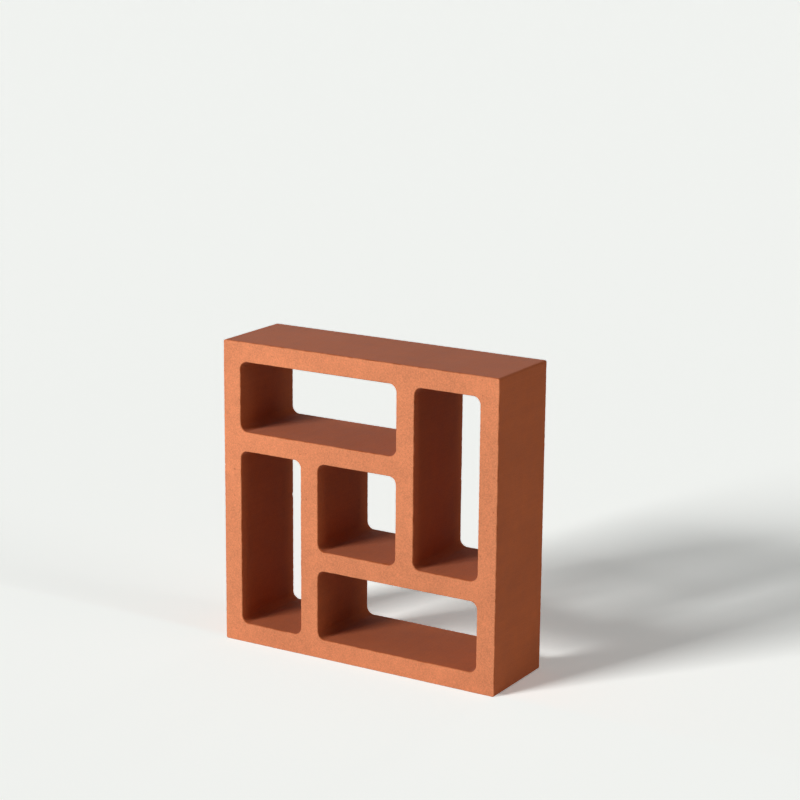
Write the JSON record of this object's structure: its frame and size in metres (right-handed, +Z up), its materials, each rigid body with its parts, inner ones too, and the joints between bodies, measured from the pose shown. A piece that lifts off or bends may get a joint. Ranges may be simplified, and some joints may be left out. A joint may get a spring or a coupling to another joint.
{
  "type": "breeze block",
  "caption": "Square terracotta screen block with long slots turning pinwheel-fashion round a square middle opening, laid in mortar as an airy see-through wall.",
  "frame": {"origin": "middle of the bed face that the block stands on", "axes": "+X across the face, to the viewer's right; +Y through the block, from the front cut face to the back one; +Z up, from bed face to bed face"},
  "size_m": [0.2, 0.06, 0.2],
  "materials": {
    "terracotta": "matt unglazed fired clay, fine wire-cut grain on the two cut faces, smoother die-drawn sides and openings"
  },
  "bodies": {
    "root": {"breeze_block": "terracotta"}
  },
  "joints": []
}
